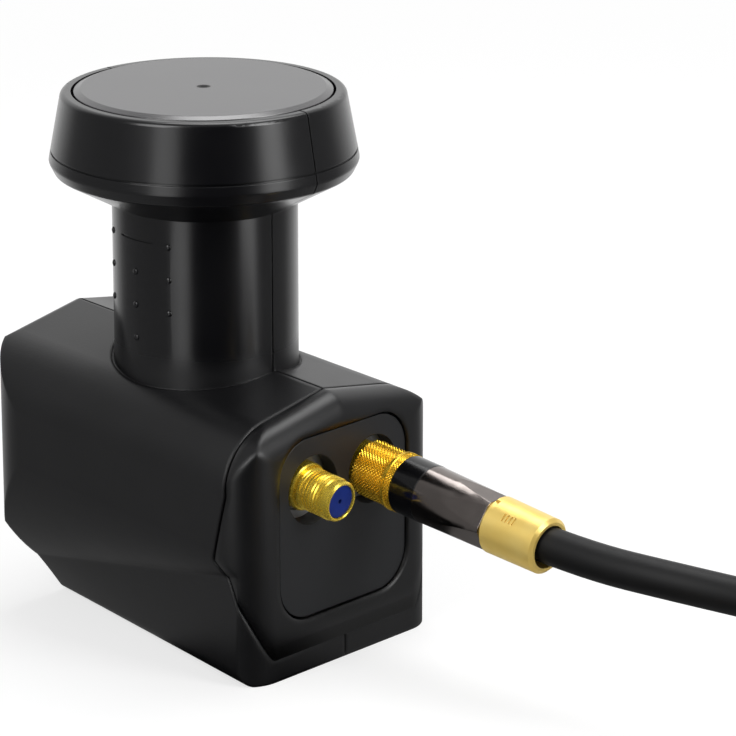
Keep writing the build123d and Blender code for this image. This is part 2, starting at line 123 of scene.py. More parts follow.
# plated and bare metals: faint tool lines along the turning, drawn coarser than real ones, and soft edges
def platedMetal(name, look):
    material, tree = newMaterial(name)
    place = addNode(tree, "ShaderNodeTexCoord").outputs["Object"]
    turned = addNode(tree, "ShaderNodeMapping", {"vector_type": "POINT"}, {
        "Vector": place, "Rotation": (0, look["tilt"], 0), "Scale": (look["lineRatio"], 1, 1)})
    lines = addNode(tree, "ShaderNodeTexNoise", inputs={
        "Vector": turned.outputs[0], "Scale": 1 / (look["lineMm"] * mm), "Detail": 3.0, "Roughness": 0.6})
    patches = addNode(tree, "ShaderNodeTexNoise", inputs={
        "Vector": place, "Scale": 1 / (look["patchMm"] * mm), "Detail": 2.0})
    tone = addNode(tree, "ShaderNodeMix", {"data_type": "RGBA"}, {
        0: patches.outputs["Fac"], 6: toLinear(look["dark"]), 7: toLinear(look["light"])})
    blur = addNode(tree, "ShaderNodeMath", {"operation": "MULTIPLY_ADD"}, {
        0: lines.outputs["Fac"], 1: look["roughSpread"], 2: look["rough"]})
    softEdge = addNode(tree, "ShaderNodeBevel", {"samples": 4}, {"Radius": look["edgeMm"] * mm})
    bump = addNode(tree, "ShaderNodeBump", inputs={
        "Strength": look["lineStrength"], "Distance": look["lineMm"] * bumpDepth * mm,
        "Height": lines.outputs["Fac"], "Normal": softEdge.outputs[0]})
    shader = addNode(tree, "ShaderNodeBsdfPrincipled", inputs={
        "Base Color": tone.outputs[2], "Metallic": look["metal"], "Roughness": blur.outputs[0],
        "Normal": bump.outputs[0]})
    finishMaterial(tree, shader)
    return material


portTilt = math.radians(6.5)  # the ports look down a little

# moulded ABS, eroded on the body and polished from the neck up: dull sides, glossy neck and cap
caseBlack = mouldedPlastic("mouldedAbsCase", {
    "dark": "#08080a", "light": "#0d0d0f", "cloudMm": 14, "grainMm": 0.5, "grainStrength": 0.35,
    "rough": 0.36, "polishedRough": 0.18, "roughSpread": 0.08, "polishFrom": 60, "polishTo": 66,
    "edgeMm": 1.3, "topEdgeMm": 0.2, "ior": 1.5})
# moulded ABS hood from a smoother tool: broad soft highlights along its rounded edges
shieldBlack = mouldedPlastic("mouldedAbsShield", {
    "dark": "#09090a", "light": "#0e0e10", "cloudMm": 11, "grainMm": 0.45, "grainStrength": 0.3,
    "rough": 0.34, "polishedRough": 0.30, "roughSpread": 0.08, "polishFrom": 40, "polishTo": 55,
    "edgeMm": 1.9, "ior": 1.5})
# moulded ASA cover, smooth, on a grey base that is partly painted sheen: an even sheen, with painted shade
# and a duller finish in the centre dimple
coverBlack = mouldedPlastic("mouldedAsaCover", {
    # base lightened to grey: partly painted sheen, on top of the real reflection
    "dark": "#2a292b", "light": "#313032", "cloudMm": 20, "grainMm": 0.4, "grainStrength": 0.2,
    "rough": 0.22, "polishedRough": 0.22, "roughSpread": 0.05, "polishFrom": 60, "polishTo": 66,
    "edgeMm": 0.4, "ior": 1.8, "dimpleShadeMm": 1.7, "dimpleShadeCoreMm": 1.19, "dimpleShadeTone": "#020202", "dimpleRough": 0.7})
# moulded ABS plate, eroded all over: a dull grey black round the ports
plateBlack = mouldedPlastic("mouldedAbsPlate", {
    "dark": "#121315", "light": "#18191c", "cloudMm": 9, "grainMm": 0.4, "grainStrength": 0.5,
    "rough": 0.42, "polishedRough": 0.42, "roughSpread": 0.08, "polishFrom": 60, "polishTo": 66,
    "edgeMm": 0.3, "ior": 1.5})
# gloss lacquered sleeve: near mirror black
bandBlack = mouldedPlastic("glossLacqueredBand", {
    "dark": "#050506", "light": "#08080a", "cloudMm": 5, "grainMm": 0.3, "grainStrength": 0.05,
    "rough": 0.14, "polishedRough": 0.14, "roughSpread": 0.05, "polishFrom": 60, "polishTo": 66,
    "edgeMm": 0.2, "ior": 1.5})
# extruded PVC jacket: dull and faintly uneven
jacketBlack = mouldedPlastic("extrudedPvcJacket", {
    "dark": "#0a0a0b", "light": "#101011", "cloudMm": 12, "grainMm": 0.6, "grainStrength": 0.3,
    "rough": 0.46, "polishedRough": 0.46, "roughSpread": 0.12, "polishFrom": 60, "polishTo": 66,
    "edgeMm": 0.1, "ior": 1.33})
# moulded nitrile rubber: matt, with hardly a highlight
sealBlack = mouldedPlastic("mouldedNitrileSeal", {
    "dark": "#0b0b0b", "light": "#121212", "cloudMm": 6, "grainMm": 0.4, "grainStrength": 0.3,
    "rough": 0.6, "polishedRough": 0.6, "roughSpread": 0.08, "polishFrom": 60, "polishTo": 66,
    "edgeMm": 0.1, "ior": 1.5})
# moulded blue polyethylene: an even, waxy blue
insulatorBlue = mouldedPlastic("mouldedBlueInsulator", {
    "dark": "#071c5c", "light": "#0b2878", "cloudMm": 2.5, "grainMm": 0.3, "grainStrength": 0.3,
    "rough": 0.4, "polishedRough": 0.4, "roughSpread": 0.1, "polishFrom": 60, "polishTo": 66,
    "edgeMm": 0.1, "ior": 1.28})
# glass laminate under solder mask: cloudy green with a low gloss
boardGreen = mouldedPlastic("solderMaskLaminate", {
    "dark": "#0c3a1e", "light": "#14502a", "cloudMm": 4, "grainMm": 0.4, "grainStrength": 0.2,
    "rough": 0.35, "polishedRough": 0.35, "roughSpread": 0.1, "polishFrom": 60, "polishTo": 66,
    "edgeMm": 0.1, "ior": 1.5})
# gold plate on turned brass: bright, and not all metal, so it stays yellow where the room is dark
portGold = platedMetal("goldPlatedPort", {
    "dark": "#e8c333", "light": "#f5da5c", "patchMm": 3, "lineMm": 0.25,
    "lineRatio": 3.0, "lineStrength": 0.01, "rough": 0.24, "roughSpread": 0.06, "edgeMm": 0.03,
    "tilt": portTilt, "metal": 0.75})
# gold plate on knurled brass: a deeper gold that glints on each tooth
nutGold = platedMetal("goldPlatedNut", {
    "dark": "#d8ab26", "light": "#ecc544", "patchMm": 4, "lineMm": 0.3,
    "lineRatio": 3.0, "lineStrength": 0.05, "rough": 0.2, "roughSpread": 0.12, "edgeMm": 0.03,
    "tilt": portTilt, "metal": 0.85})
# satin gold plate on a pressed sleeve: pale and soft
ferruleGold = platedMetal("satinGoldFerrule", {
    "dark": "#ecc55c", "light": "#f8dd88", "patchMm": 5, "lineMm": 0.3,
    "lineRatio": 6.0, "lineStrength": 0.05, "rough": 0.28, "roughSpread": 0.12, "edgeMm": 0.08,
    "tilt": portTilt, "metal": 0.6})
# black nickel plate on polished brass: a dark mirror
gunmetal = platedMetal("blackNickelBarrel", {
    "dark": "#77706d", "light": "#8f8884", "patchMm": 6, "lineMm": 0.3,
    "lineRatio": 0.15, "lineStrength": 0.05, "rough": 0.10, "roughSpread": 0.08, "edgeMm": 0.25,
    "tilt": portTilt, "metal": 1.0})
# die-cast alloy: pale grey and grainy
castAlloy = platedMetal("dieCastAlloy", {
    "dark": "#a6a8aa", "light": "#bfc1c3", "patchMm": 6, "lineMm": 0.5,
    "lineRatio": 1.0, "lineStrength": 0.4, "rough": 0.35, "roughSpread": 0.2, "edgeMm": 0.3,
    "tilt": 0.0, "metal": 1.0})
# zinc plate on steel: pale grey and bright
screwSteel = platedMetal("zincPlatedSteel", {
    "dark": "#b4b6b4", "light": "#cdd0cf", "patchMm": 2, "lineMm": 0.3,
    "lineRatio": 1.0, "lineStrength": 0.1, "rough": 0.25, "roughSpread": 0.15, "edgeMm": 0.1,
    "tilt": 0.0, "metal": 1.0})
# bare drawn copper: warm and bright
copperTone = platedMetal("bareCopper", {
    "dark": "#c4794a", "light": "#d99666", "patchMm": 2, "lineMm": 0.2,
    "lineRatio": 1.0, "lineStrength": 0.1, "rough": 0.22, "roughSpread": 0.15, "edgeMm": 0.05,
    "tilt": 0.0, "metal": 1.0})


waveLength = 0.314  # length of one wave of the wave texture at scale 1


# woven nylon strap: over and under threads that break up the light
def wovenStrap(name, look):
    material, tree = newMaterial(name)
    place = addNode(tree, "ShaderNodeTexCoord").outputs["Object"]
    waves = [addNode(tree, "ShaderNodeTexWave", {"bands_direction": way}, {
        "Vector": place, "Scale": waveLength / (look["threadMm"] * mm), "Distortion": 0.6, "Detail": 1.0})
        for way in ("X", "Z")]
    weave = addNode(tree, "ShaderNodeMath", {"operation": "MULTIPLY"}, {
        0: waves[0].outputs["Fac"], 1: waves[1].outputs["Fac"]})
    tone = addNode(tree, "ShaderNodeMix", {"data_type": "RGBA"}, {
        0: weave.outputs[0], 6: toLinear(look["dark"]), 7: toLinear(look["light"])})
    bump = addNode(tree, "ShaderNodeBump", inputs={
        "Strength": look["relief"], "Distance": look["reliefMm"] * mm, "Height": weave.outputs[0]})
    shader = addNode(tree, "ShaderNodeBsdfPrincipled", inputs={
        "Base Color": tone.outputs[2], "Roughness": look["rough"], "Sheen Weight": look["sheen"],
        "Normal": bump.outputs[0]})
    finishMaterial(tree, shader)
    return material


strapBlack = wovenStrap("wovenNylonStrap", {
    "dark": "#0c0c0d", "light": "#1d1d1f", "threadMm": 0.7, "relief": 0.5, "reliefMm": 0.1, "rough": 0.8,
    "sheen": 0.3})

finishes = {
    "left_housing": caseBlack, "right_housing": caseBlack, "weather_shield": shieldBlack,
    "feed_cover": coverBlack, "feed_seal": sealBlack, "horn_casting": castAlloy, "case_lid": castAlloy,
    "lid_screws": screwSteel, "circuit_board": boardGreen, "waveguide_probes": copperTone,
    "connector_plate": plateBlack, "cable": jacketBlack, "cable_tail": jacketBlack, "cable_coil": jacketBlack,
    "coil_tie": strapBlack}
for port in ("free_port", "used_port"):
    finishes.update({
        port + "_body": portGold, port + "_insulator": insulatorBlue, port + "_contact": copperTone})
for plug in ("plug", "far_plug"):
    finishes.update({
        plug + "_nut": nutGold, plug + "_band": bandBlack, plug + "_barrel": gunmetal,
        plug + "_ferrule": ferruleGold, plug + "_pin": copperTone})
for name, material in finishes.items():
    slots = nodes[name].material_slots
    for slot in slots:
        slot.material = material
    if not slots:
        nodes[name].data.materials.append(material)
print("finishes set on", len(finishes), "nodes")


# where the ports and the far plug are, in mm
sockets = {"front": 40.5, "side": 9.25, "height": 40.1, "farPlug": (125.0, -46.5, 6.7)}


def axisPlace(origin, tilt):
    # z of the place runs out along the thread
    out = Vector((math.cos(tilt), 0, -math.sin(tilt)))
    side = Vector((0, 1, 0))
    up = out.cross(side)
    turn = Matrix((side, up, out)).transposed().to_4x4()
    return Matrix.Translation(Vector(origin) * mm) @ turn


freePortPlace = axisPlace((sockets["front"], -sockets["side"], sockets["height"]), portTilt)
usedPortPlace = axisPlace((sockets["front"], sockets["side"], sockets["height"]), portTilt)
farPlugPlace = axisPlace(sockets["farPlug"], 0.0)


def turnedMesh(name, profile, steps):
    # closed outline of radius and height in mm, spun round z
    shape = bmesh.new()
    rings = []
    for i in range(steps):
        angle = 2 * math.pi * i / steps
        rings.append([shape.verts.new((r * mm * math.cos(angle), r * mm * math.sin(angle), z * mm))
                      for r, z in profile])
    count = len(profile)
    for i in range(steps):
        here, after = rings[i], rings[(i + 1) % steps]
        for j in range(count):
            k = (j + 1) % count
            shape.faces.new((here[j], after[j], after[k], here[k]))
    bmesh.ops.recalc_face_normals(shape, faces=shape.faces)
    mesh = bpy.data.meshes.new(name)
    shape.to_mesh(mesh)
    shape.free()
    return mesh


def shadeByAngle(mesh, degrees):
    for polygon in mesh.polygons:
        polygon.use_smooth = True
    mesh.set_sharp_from_angle(angle=math.radians(degrees))


def newTree(name, inputs):
    tree = bpy.data.node_groups.new(name, "GeometryNodeTree")
    tree.interface.new_socket("Geometry", in_out="INPUT", socket_type="NodeSocketGeometry")
    for label, kind in inputs.items():
        tree.interface.new_socket(label, in_out="INPUT", socket_type="NodeSocket" + kind)
    tree.interface.new_socket("Geometry", in_out="OUTPUT", socket_type="NodeSocketGeometry")
    return tree, addNode(tree, "NodeGroupInput")


def closeTree(tree, geometry, material):
    real = addNode(tree, "GeometryNodeRealizeInstances", inputs={"Geometry": geometry})
    painted = addNode(tree, "GeometryNodeSetMaterial", inputs={
        "Geometry": real.outputs[0], "Material": material})
    addNode(tree, "NodeGroupOutput", inputs={"Geometry": painted.outputs[0]})


def treeResult(name, mesh, tree, values):
    # runs the tree on the mesh and keeps the result as a plain mesh object
    carrier = bpy.data.objects.new(name + "Source", mesh)
    scene.collection.objects.link(carrier)
    modifier = carrier.modifiers.new("shape", "NODES")
    modifier.node_group = tree
    for item in tree.interface.items_tree:
        if item.in_out == "INPUT" and item.name in values:
            modifier[item.identifier] = values[item.name]
    graph = bpy.context.evaluated_depsgraph_get()
    result = bpy.data.meshes.new_from_object(carrier.evaluated_get(graph), depsgraph=graph)
    carrier.modifiers.remove(modifier)
    bpy.data.objects.remove(carrier)
    result.name = name
    piece = bpy.data.objects.new(name, result)
    scene.collection.objects.link(piece)
    return piece


# helical thread on a turned port
def threadTree(material):
    tree, given = newTree("screwThread", {
        "Turns": "Float", "Length": "Float", "Start": "Float", "Radius": "Float", "Depth": "Float"})
    spiral = addNode(tree, "GeometryNodeCurveSpiral", inputs={
        "Resolution": 64, "Rotations": given.outputs["Turns"], "Start Radius": given.outputs["Radius"],
        "End Radius": given.outputs["Radius"], "Height": given.outputs["Length"]})
    lift = addNode(tree, "ShaderNodeCombineXYZ", inputs={"Z": given.outputs["Start"]})
    moved = addNode(tree, "GeometryNodeTransform", inputs={
        "Geometry": spiral.outputs[0], "Translation": lift.outputs[0]})
    ridge = addNode(tree, "GeometryNodeCurvePrimitiveCircle", inputs={
        "Resolution": 4, "Radius": given.outputs["Depth"]})
    thread = addNode(tree, "GeometryNodeCurveToMesh", inputs={
        "Curve": moved.outputs[0], "Profile Curve": ridge.outputs[0], "Fill Caps": True})
    joined = addNode(tree, "GeometryNodeJoinGeometry")
    tree.links.new(given.outputs["Geometry"], joined.inputs[0])
    tree.links.new(thread.outputs[0], joined.inputs[0])
    closeTree(tree, joined.outputs[0], material)
    return tree


# the bare port: collar, thread and a bright lip round the insulator
freePort = {
    "steps": 64, "smoothDegrees": 35, "thread": 4.7, "root": 4.42, "collar": 5.3, "collarEdge": 0.3,
    "shank": 4.0, "bore": 3.7, "boreEdge": 0.12, "contact": 0.5, "back": -6.4, "seat": -4.6, "face": -1.3,
    "floor": -2.0, "end": 8.3, "chamfer": 0.5, "shoulderDrop": 0.25, "rimDrop": 0.05, "lipDrop": 0.15,
    "lipRound": 0.08, "runOut": 1.1, "pitch": 0.794, "ridge": 0.27, "threadGap": 0.3, "threadShort": 0.5}


def portOutline(port):
    # radius and height: from the shank's back over the collar and the thread to the lip, and down the bore
    chamferStart = port["end"] - port["chamfer"]
    rim = port["thread"] - port["chamfer"]
    return [
        (port["contact"], port["back"]), (port["shank"], port["back"]),
        (port["shank"], port["seat"]), (port["collar"], port["seat"]),
        (port["collar"], port["face"] - port["collarEdge"]),
        (port["collar"] - port["collarEdge"], port["face"]),
        (port["root"], port["face"]), (port["root"], chamferStart - port["runOut"]),
        (port["thread"] - port["shoulderDrop"], chamferStart),
        (rim - port["rimDrop"], port["end"] - port["lipRound"]), (rim - port["lipDrop"], port["end"]),
        (port["bore"] + port["boreEdge"], port["end"]), (port["bore"], port["end"] - port["boreEdge"]),
        (port["bore"], port["floor"]), (port["contact"], port["floor"])]


threadLength = freePort["end"] - freePort["chamfer"] - freePort["runOut"] - freePort["face"]
threadLength -= freePort["threadShort"]
portBlank = turnedMesh("freePortBase", portOutline(freePort), freePort["steps"])
freePortPiece = treeResult("freePortThreaded", portBlank, threadTree(portGold), {
    "Turns": threadLength / freePort["pitch"], "Length": threadLength * mm,
    "Start": (freePort["face"] + freePort["threadGap"]) * mm, "Radius": freePort["root"] * mm,
    "Depth": freePort["ridge"] * mm})
freePortPiece.data.transform(freePortPlace)
shadeByAngle(freePortPiece.data, freePort["smoothDegrees"])
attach(freePortPiece, "head")
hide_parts("free_port_body")
print("free port threaded")


# diamond knurl: rows of small pyramids, every other row turned by half a step
def knurlTree(material):
    tree, given = newTree("diamondKnurl", {
        "Around": "Int", "Rows": "Int", "Radius": "Float", "Start": "Float", "Pitch": "Float",
        "Tooth": "Float", "Rise": "Float"})
    ring = addNode(tree, "GeometryNodeMeshCircle", inputs={
        "Vertices": given.outputs["Around"], "Radius": given.outputs["Radius"]})
    start = addNode(tree, "ShaderNodeCombineXYZ", inputs={"Z": given.outputs["Start"]})
    step = addNode(tree, "ShaderNodeCombineXYZ", inputs={"Z": given.outputs["Pitch"]})
    rows = addNode(tree, "GeometryNodeMeshLine", {"mode": "OFFSET"}, {
        "Count": given.outputs["Rows"], "Start Location": start.outputs[0], "Offset": step.outputs[0]})
    index = addNode(tree, "GeometryNodeInputIndex")
    half = addNode(tree, "ShaderNodeMath", {"operation": "DIVIDE"}, {
        0: math.pi, 1: given.outputs["Around"]})
    turn = addNode(tree, "ShaderNodeMath", {"operation": "MULTIPLY"}, {
        0: index.outputs[0], 1: half.outputs[0]})
    spin = addNode(tree, "ShaderNodeCombineXYZ", inputs={"Z": turn.outputs[0]})
    rings = addNode(tree, "GeometryNodeInstanceOnPoints", inputs={
        "Points": rows.outputs[0], "Instance": ring.outputs[0], "Rotation": spin.outputs[0]})
    spots = addNode(tree, "GeometryNodeRealizeInstances", inputs={"Geometry": rings.outputs[0]})
    tooth = addNode(tree, "GeometryNodeMeshCone", inputs={
        "Vertices": 4, "Radius Top": 0.0, "Radius Bottom": given.outputs["Tooth"],
        "Depth": given.outputs["Rise"]})
    here = addNode(tree, "GeometryNodeInputPosition")
    flat = addNode(tree, "ShaderNodeVectorMath", {"operation": "MULTIPLY"}, {
        0: here.outputs[0], 1: (1, 1, 0)})
    outward = addNode(tree, "FunctionNodeAlignRotationToVector", {"axis": "Z"}, {"Vector": flat.outputs[0]})
    teeth = addNode(tree, "GeometryNodeInstanceOnPoints", inputs={
        "Points": spots.outputs[0], "Instance": tooth.outputs[0], "Rotation": outward.outputs[0]})
    joined = addNode(tree, "GeometryNodeJoinGeometry")
    tree.links.new(given.outputs["Geometry"], joined.inputs[0])
    tree.links.new(teeth.outputs[0], joined.inputs[0])
    closeTree(tree, joined.outputs[0], material)
    return tree


# the plug's nut: knurled grip, a plain bright ring and a finer knurl behind it
nut = {
    "steps": 72, "smoothDegrees": 28, "start": -1.2, "end": 10.5, "radius": 5.9, "frontEdge": 0.3,
    "ringRadius": 6.6, "ringStart": 7.9, "ringEnd": 8.9, "ringFoot": 0.1, "ringEdge": 0.15, "ringRise": 0.2,
    "backRadius": 6.35, "backFoot": 0.05, "backEdge": 0.2, "inside": 4.75, "mouthEdge": 0.4, "post": 4.15,
    "floor": 8.9, "around": 46, "rows": 20, "pitch": 0.41, "tooth": 0.40, "rise": 0.4, "knurlStart": -0.55,
    "fineAround": 60, "fineRows": 4, "finePitch": 0.36, "fineTooth": 0.3, "fineRise": 0.24, "fineStart": 9.2}


def nutOutline(size):
    # radius and height: mouth, grip, plain ring, rear grip, and back through the hollow
    return [
        (size["inside"], size["start"] + size["mouthEdge"]),
        (size["inside"] + size["mouthEdge"], size["start"]),
        (size["radius"] - size["frontEdge"], size["start"]),
        (size["radius"], size["start"] + size["frontEdge"]),
        (size["radius"], size["ringStart"] - size["ringFoot"]),
        (size["ringRadius"] - size["ringEdge"], size["ringStart"]),
        (size["ringRadius"], size["ringStart"] + size["ringRise"]),
        (size["ringRadius"], size["ringEnd"] - size["ringEdge"]),
        (size["ringRadius"] - size["ringEdge"], size["ringEnd"]),
        (size["backRadius"], size["ringEnd"] + size["backFoot"]),
        (size["backRadius"], size["end"] - size["backEdge"]),
        (size["backRadius"] - size["backEdge"], size["end"]),
        (size["post"], size["end"]), (size["post"], size["floor"]), (size["inside"], size["floor"])]


knurl = knurlTree(nutGold)
coarseGrip = {
    "Around": nut["around"], "Rows": nut["rows"], "Radius": nut["radius"] * mm,
    "Start": nut["knurlStart"] * mm, "Pitch": nut["pitch"] * mm, "Tooth": nut["tooth"] * mm,
    "Rise": nut["rise"] * mm}
fineGrip = {
    "Around": nut["fineAround"], "Rows": nut["fineRows"], "Radius": nut["backRadius"] * mm,
    "Start": nut["fineStart"] * mm, "Pitch": nut["finePitch"] * mm, "Tooth": nut["fineTooth"] * mm,
    "Rise": nut["fineRise"] * mm}
nutPieces = {}
for name, node, place in (
        ("plugNutKnurled", "plug_nut", usedPortPlace), ("farPlugNutKnurled", "far_plug_nut", farPlugPlace)):
    blank = turnedMesh(name + "Base", nutOutline(nut), nut["steps"])
    coarse = treeResult(name + "Coarse", blank, knurl, coarseGrip)
    piece = treeResult(name, coarse.data.copy(), knurl, fineGrip)
    bpy.data.objects.remove(coarse)
    piece.data.transform(place)
    shadeByAngle(piece.data, nut["smoothDegrees"])
    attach(piece, "head")
    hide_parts(node)
    nutPieces[node] = piece
print("nuts knurled")


# raised dots of the roll scale on the neck: low domes that catch the light, over the moulded ones
def dotTree(material):
    tree, given = newTree("rollDots", {"Dot": "Float", "Rise": "Float"})
    ball = addNode(tree, "GeometryNodeMeshUVSphere", inputs={
        "Segments": 16, "Rings": 10, "Radius": given.outputs["Dot"]})
    low = addNode(tree, "ShaderNodeMath", {"operation": "DIVIDE"}, {
        0: given.outputs["Rise"], 1: given.outputs["Dot"]})
    squash = addNode(tree, "ShaderNodeCombineXYZ", inputs={"X": 1.0, "Y": 1.0, "Z": low.outputs[0]})
    here = addNode(tree, "GeometryNodeInputPosition")
    flat = addNode(tree, "ShaderNodeVectorMath", {"operation": "MULTIPLY"}, {
        0: here.outputs[0], 1: (1, 1, 0)})
    outward = addNode(tree, "FunctionNodeAlignRotationToVector", {"axis": "Z"}, {"Vector": flat.outputs[0]})
    dots = addNode(tree, "GeometryNodeInstanceOnPoints", inputs={
        "Points": given.outputs["Geometry"], "Instance": ball.outputs[0], "Rotation": outward.outputs[0],
        "Scale": squash.outputs[0]})
    closeTree(tree, dots.outputs[0], material)
    return tree


# each column of the scale: degrees round the neck, on both sides, and height of its top dot
rollScale = {
    "neck": 20.0, "dot": 0.75, "rise": 0.4, "rows": 3, "pitch": 7.3, "smoothDegrees": 60,
    "columns": ((68.3, 88.6), (93.2, 82.0), (123.5, 88.6))}
spots = []
for degrees, top in rollScale["columns"]:
    for side in (-1, 1):
        angle = math.radians(side * degrees)
        for row in range(rollScale["rows"]):
            height = top - row * rollScale["pitch"]
            around = (rollScale["neck"] * math.cos(angle), rollScale["neck"] * math.sin(angle))
            spots.append(Vector((*around, height)) * mm)
spotMesh = bpy.data.meshes.new("rollScaleSpots")
spotMesh.from_pydata(spots, [], [])
rollDots = treeResult("rollScaleDots", spotMesh, dotTree(caseBlack), {
    "Dot": rollScale["dot"] * mm, "Rise": rollScale["rise"] * mm})
shadeByAngle(rollDots.data, rollScale["smoothDegrees"])
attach(rollDots, "head")
print("roll scale dotted,", len(spots), "dots")

# the lead: straight out of the plug, over to the coil, four and a half turns in two layers, to the far plug
# widthSteps: degrees wound where the coil's radius starts to change, degrees it takes, and the change in mm
lead = {
    "root": (78.206, 9.25, 35.804), "diameter": 8.0, "length": 1.31,
    "bends": [(98.0, 9.25, 33.9), (122.0, 13.6, 33.2), (145.0, 25.5, 29.5), (168.0, 32.5, 20.5)],
    "coilX": 207.0, "coilY": 0.0, "coilRadius": 44, "low": 4.65, "high": 12.55,
    "startDegrees": 112, "turnedDegrees": 1620, "stepDegrees": 30,
    "widthSteps": ((300, 60, -8), (655, 40, -4), (960, 60, 8), (1320, 60, 8)),
    "dropFrom": 660, "dropOver": 75, "roundSteps": 6, "alongSteps": 8,
    "tail": [(187.0, -46.6, 6.2), (175.0, -46.5, 6.7), (162.95, -46.5, 6.7)]}


def ease(value):
    t = min(max(value, 0.0), 1.0)
    return t * t * (3 - 2 * t)


def coilPlace(turned):
    # degrees wound so far, to radius and height of the lead's middle
    radius = lead["coilRadius"]
    for begin, over, change in lead["widthSteps"]:
        radius += change * ease((turned - begin) / over)
    dropped = ease((turned - lead["dropFrom"]) / lead["dropOver"])
    return radius, lead["high"] + (lead["low"] - lead["high"]) * dropped


controlPoints = [lead["root"]] + lead["bends"]
reach = 1 / math.cos(math.radians(lead["stepDegrees"] / 2))  # the spline runs inside its points
for turned in range(0, lead["turnedDegrees"] + 1, lead["stepDegrees"]):
    radius, height = coilPlace(turned)
    angle = math.radians(lead["startDegrees"] - turned)
    controlPoints.append((lead["coilX"] + radius * reach * math.cos(angle),
                          lead["coilY"] + radius * reach * math.sin(angle), height))
controlPoints += lead["tail"]
leadCurve = bpy.data.curves.new("leadCable", "CURVE")
leadCurve.dimensions = "3D"
leadCurve.bevel_depth = lead["diameter"] / 2 * mm
leadCurve.bevel_resolution = lead["roundSteps"]
leadCurve.resolution_u = lead["alongSteps"]
leadCurve.use_fill_caps = True
spline = leadCurve.splines.new("NURBS")
spline.points.add(len(controlPoints) - 1)
for point, place in zip(spline.points, controlPoints):
    point.co = (*(Vector(place) * mm), 1.0)
spline.order_u = 3
spline.use_endpoint_u = True
leadCurve.materials.append(jacketBlack)
leadCable = bpy.data.objects.new("leadCable", leadCurve)
scene.collection.objects.link(leadCable)
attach(leadCable, "head")
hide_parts("cable", "cable_coil", "cable_tail")
onTheLead = [nutPieces["plug_nut"], nutPieces["far_plug_nut"], nodes["coil_tie"]]
for plug in ("plug", "far_plug"):
    onTheLead += [nodes[plug + part] for part in ("_band", "_barrel", "_ferrule", "_pin")]
print("lead laid,", len(controlPoints), "points")

# camera where the photograph was taken from
shot = {
    "azimuth": 42.75, "elevation": 17.5, "distance": 0.9, "lens": 202.4, "sensor": 36, "right": 0.03502,
    "height": 0.0561}


def outwards(azimuth, elevation):
    # away from the object at these degrees, with the azimuth counted from -y
    bearing, rise = math.radians(azimuth), math.radians(elevation)
    return Vector((math.sin(bearing) * math.cos(rise), -math.cos(bearing) * math.cos(rise), math.sin(rise)))


back = outwards(shot["azimuth"], shot["elevation"])
bearing = math.radians(shot["azimuth"])
right = Vector((math.cos(bearing), math.sin(bearing), 0))
target = right * shot["right"] + Vector((0, 0, shot["height"]))
cameraData = bpy.data.cameras.new("camera")
cameraData.lens = shot["lens"]
cameraData.sensor_width = shot["sensor"]
camera = bpy.data.objects.new("camera", cameraData)
camera.location = target + back * shot["distance"]
camera.rotation_mode = "QUATERNION"
camera.rotation_quaternion = (-back).to_track_quat("-Z", "Y")
scene.collection.objects.link(camera)
scene.camera = camera

# white sweep: white to the camera with a soft shadow, and dark and bright bearings to smooth surfaces
# strips: bearing counted from the camera, half width in degrees, strength
studio = {
    "size": 6.0, "shadow": 0.35, "shadowFull": 0.35, "shadowGone": 0.8, "worldLight": 0.5, "room": 0.27,
    "overhead": 0.4, "overheadFrom": 0.6, "overheadFull": 0.9, "strips": ((-27, 13, 1.7), (55, 13, 2.3)),
    "stripsFrom": 0.12, "stripsFull": 0.26, "darkBearing": 9, "darkWidth": 44, "backBearing": 180,
    "backWidth": 80, "backLevel": 1.0, "lobeCore": 0.3, "aimHeight": 0.06}


def bearingLobe(tree, heading, offset, width, level):
    # rises from nothing to the level as the heading nears a bearing counted from the camera
    angle = math.radians(shot["azimuth"] - 90 + offset)
    near = addNode(tree, "ShaderNodeVectorMath", {"operation": "DOT_PRODUCT"}, {
        0: heading, 1: (math.cos(angle), math.sin(angle), 0)})
    return addNode(tree, "ShaderNodeMapRange", {"interpolation_type": "SMOOTHSTEP"}, {
        "Value": near.outputs["Value"], "From Min": math.cos(math.radians(width)),
        "From Max": math.cos(math.radians(width * studio["lobeCore"])),
        "To Min": 0.0, "To Max": level}).outputs[0]


def roomLevel(tree, place):
    # how bright the room is at a place on the floor or in a direction
    flat = addNode(tree, "ShaderNodeVectorMath", {"operation": "MULTIPLY"}, {0: place, 1: (1, 1, 0)})
    heading = addNode(tree, "ShaderNodeVectorMath", {"operation": "NORMALIZE"}, {
        0: flat.outputs[0]}).outputs[0]
    dark = bearingLobe(tree, heading, studio["darkBearing"], studio["darkWidth"], -studio["room"])
    total = addNode(tree, "ShaderNodeMath", {"operation": "ADD"}, {0: dark, 1: studio["room"]}).outputs[0]
    distance = addNode(tree, "ShaderNodeVectorMath", {"operation": "LENGTH"}, {0: place}).outputs["Value"]
    clear = addNode(tree, "ShaderNodeMapRange", {"interpolation_type": "SMOOTHSTEP"}, {
        "Value": distance, "From Min": studio["stripsFrom"], "From Max": studio["stripsFull"]}).outputs[0]
    for offset, width, strength in studio["strips"]:
        strip = bearingLobe(tree, heading, offset, width, strength)
        total = addNode(tree, "ShaderNodeMath", {"operation": "MULTIPLY_ADD"}, {
            0: strip, 1: clear, 2: total}).outputs[0]
    farSide = bearingLobe(tree, heading, studio["backBearing"], studio["backWidth"], studio["backLevel"])
    return addNode(tree, "ShaderNodeMath", {"operation": "MAXIMUM"}, {0: total, 1: farSide}).outputs[0]


